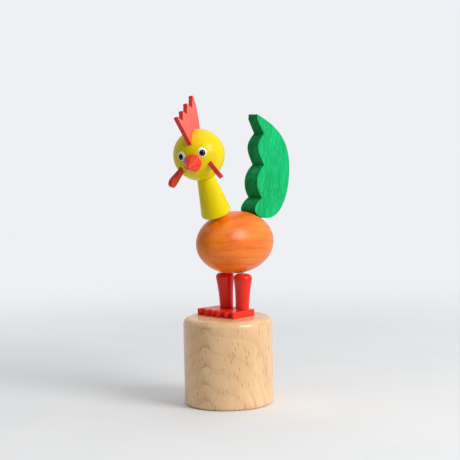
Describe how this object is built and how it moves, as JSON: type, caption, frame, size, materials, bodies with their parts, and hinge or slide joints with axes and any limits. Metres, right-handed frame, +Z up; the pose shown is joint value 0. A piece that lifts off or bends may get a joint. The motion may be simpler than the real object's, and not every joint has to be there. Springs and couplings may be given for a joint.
{
  "type": "push puppet",
  "caption": "Wooden push puppet: a chicken strung on two cords over a drum, which folds when the button under the drum is pressed.",
  "frame": {"origin": "on the drum's axis, in the plane that the drum stands on; it is also the bottom centre of the whole toy's box", "axes": "+Z up, the chicken faces -Y, and its left side is +X"},
  "size_m": [0.04, 0.0745, 0.1381],
  "materials": {
    "lacquered_beech": "clear lacquer, satin",
    "red_enamel": "gloss enamel on turned wood",
    "coral_enamel": "satin enamel on a sawn plate",
    "yellow_enamel": "gloss enamel on turned wood",
    "orange_stain": "transparent stain under clear lacquer, grain showing",
    "green_stain": "transparent stain, satin, grain showing",
    "white_enamel": "gloss enamel dab",
    "black_enamel": "gloss enamel dab",
    "spring_steel": "bright drawn wire",
    "cotton_cord": "waxed cotton, natural"
  },
  "bodies": {
    "base": {"base_drum": "lacquered_beech", "left_foot": "red_enamel", "right_foot": "red_enamel", "return_spring": "spring_steel", "neck_cord_in_drum": "cotton_cord", "tail_cord_in_drum": "cotton_cord"},
    "button": {"press_button": "lacquered_beech", "neck_cord_knot": "cotton_cord", "tail_cord_knot": "cotton_cord"},
    "left_leg": {"left_leg": "red_enamel", "tail_cord_in_leg": "cotton_cord"},
    "right_leg": {"right_leg": "red_enamel", "neck_cord_in_leg": "cotton_cord"},
    "body": {"body": "orange_stain", "neck_cord_in_body": "cotton_cord", "tail_cord_in_body": "cotton_cord"},
    "neck": {"neck": "yellow_enamel", "neck_cord_in_neck": "cotton_cord"},
    "head_pivot": {"neck_cord_in_head": "cotton_cord"},
    "head": {"head": "yellow_enamel", "comb": "coral_enamel", "beak": "red_enamel", "head_knot": "cotton_cord", "left_wattle": "red_enamel", "right_wattle": "red_enamel", "left_eye_white": "white_enamel", "right_eye_white": "white_enamel", "left_pupil": "black_enamel", "right_pupil": "black_enamel"},
    "tail": {"tail": "green_stain", "tail_cord_in_tail": "cotton_cord"}
  },
  "joints": [
    {"name": "button_press", "type": "slide", "parent": "base", "child": "button", "axis": [0, 0, 1], "range_m": [0, 0.0095], "stiffness_N_per_m": 400, "springref_m": -0.012, "deforming": ["return_spring", "neck_cord_in_drum", "tail_cord_in_drum"]},
    {"name": "left_ankle", "type": "hinge", "parent": "base", "child": "left_leg", "pos_m": [0, 0.00135, 0.0425], "axis": [1, 0, 0], "range_deg": [0, 28]},
    {"name": "right_ankle", "type": "hinge", "parent": "base", "child": "right_leg", "pos_m": [0, 0.00135, 0.0425], "axis": [1, 0, 0], "range_deg": [0, 28]},
    {"name": "hip", "type": "hinge", "parent": "left_leg", "child": "body", "pos_m": [0, 0.00225, 0.0583], "axis": [1, 0, 0], "range_deg": [0, 20]},
    {"name": "neck_tip", "type": "hinge", "parent": "body", "child": "neck", "pos_m": [0, -0.00823, 0.08354], "axis": [1, 0, 0], "range_deg": [0, 32]},
    {"name": "head_nod", "type": "hinge", "parent": "neck", "child": "head_pivot", "pos_m": [0, -0.01554, 0.11222], "axis": [1, 0, 0], "range_deg": [0, 20]},
    {"name": "head_swivel", "type": "hinge", "parent": "head_pivot", "child": "head", "pos_m": [0, -0.01554, 0.11222], "axis": [0, -0.3502, 0.9367], "range_deg": [-120, 59]},
    {"name": "tail_tip", "type": "hinge", "parent": "body", "child": "tail", "pos_m": [0, 0.0202, 0.08228], "axis": [1, 0, 0], "range_deg": [-40, 0]}
  ],
  "couplings": [
    {"joint": "left_ankle", "follows": "button_press", "rad_per_m": 51.4},
    {"joint": "right_ankle", "follows": "button_press", "rad_per_m": 51.4},
    {"joint": "hip", "follows": "button_press", "rad_per_m": 36.7},
    {"joint": "neck_tip", "follows": "button_press", "rad_per_m": 58.7},
    {"joint": "head_nod", "follows": "button_press", "rad_per_m": 36.7},
    {"joint": "tail_tip", "follows": "button_press", "rad_per_m": -73.4}
  ]
}
